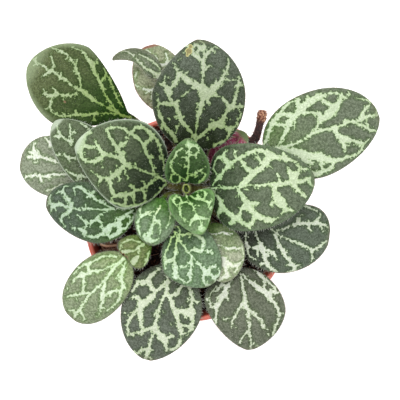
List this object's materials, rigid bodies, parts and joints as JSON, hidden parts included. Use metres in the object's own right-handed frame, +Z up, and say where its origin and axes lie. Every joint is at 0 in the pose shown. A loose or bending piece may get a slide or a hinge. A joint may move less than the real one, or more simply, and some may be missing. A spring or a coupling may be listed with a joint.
{
  "type": "potted primulina",
  "caption": "Potted primulina: a flat rosette of marbled, hairy oval leaves on a short crown, in a round orange plastic pot filled with dark soil.",
  "frame": {"origin": "middle of the pot's flat underside", "axes": "+Z up, along the pot's axis; +X to the right and +Y to the top of the picture, which looks straight down"},
  "size_m": [0.137, 0.1216, 0.0894],
  "materials": {
    "orange_plastic": "smooth moulded plastic, slightly glossy",
    "soil": "crumbly dark peat with brown fibres",
    "crown": "hairy yellow-green stem",
    "dried_stalk": "dry, brown and hairy",
    "leaf": "velvety dark grey-green with a net of pale veins",
    "leaf_pale": "velvety pale grey-green with pale veins",
    "leaf_young": "velvety fresh green with thin pale veins",
    "leaf_underside": "velvety wine red leaf underside"
  },
  "bodies": {
    "root": {"pot": "orange_plastic", "soil": "soil", "crown": "crown", "dried_stalk": "dried_stalk", "leaf_behind_top": "leaf_pale", "leaf_far_left": "leaf_pale", "leaf_bottom": "leaf", "leaf_bottom_right": "leaf", "leaf_upper_right": "leaf", "leaf_bottom_left": "leaf_pale", "leaf_upper_left": "leaf_young", "leaf_lower_right": "leaf", "leaf_turned_over": "leaf_underside", "leaf_left_shoulder": "leaf", "leaf_small_round": "leaf_pale", "leaf_arched": "leaf_pale", "leaf_folded": "leaf_pale", "leaf_lower_left": "leaf", "leaf_small_left": "leaf", "leaf_inner_bottom": "leaf", "leaf_big_top": "leaf", "leaf_big_right": "leaf", "leaf_big_left": "leaf", "leaf_young_top": "leaf_young", "leaf_young_bottom": "leaf_young"}
  },
  "joints": []
}
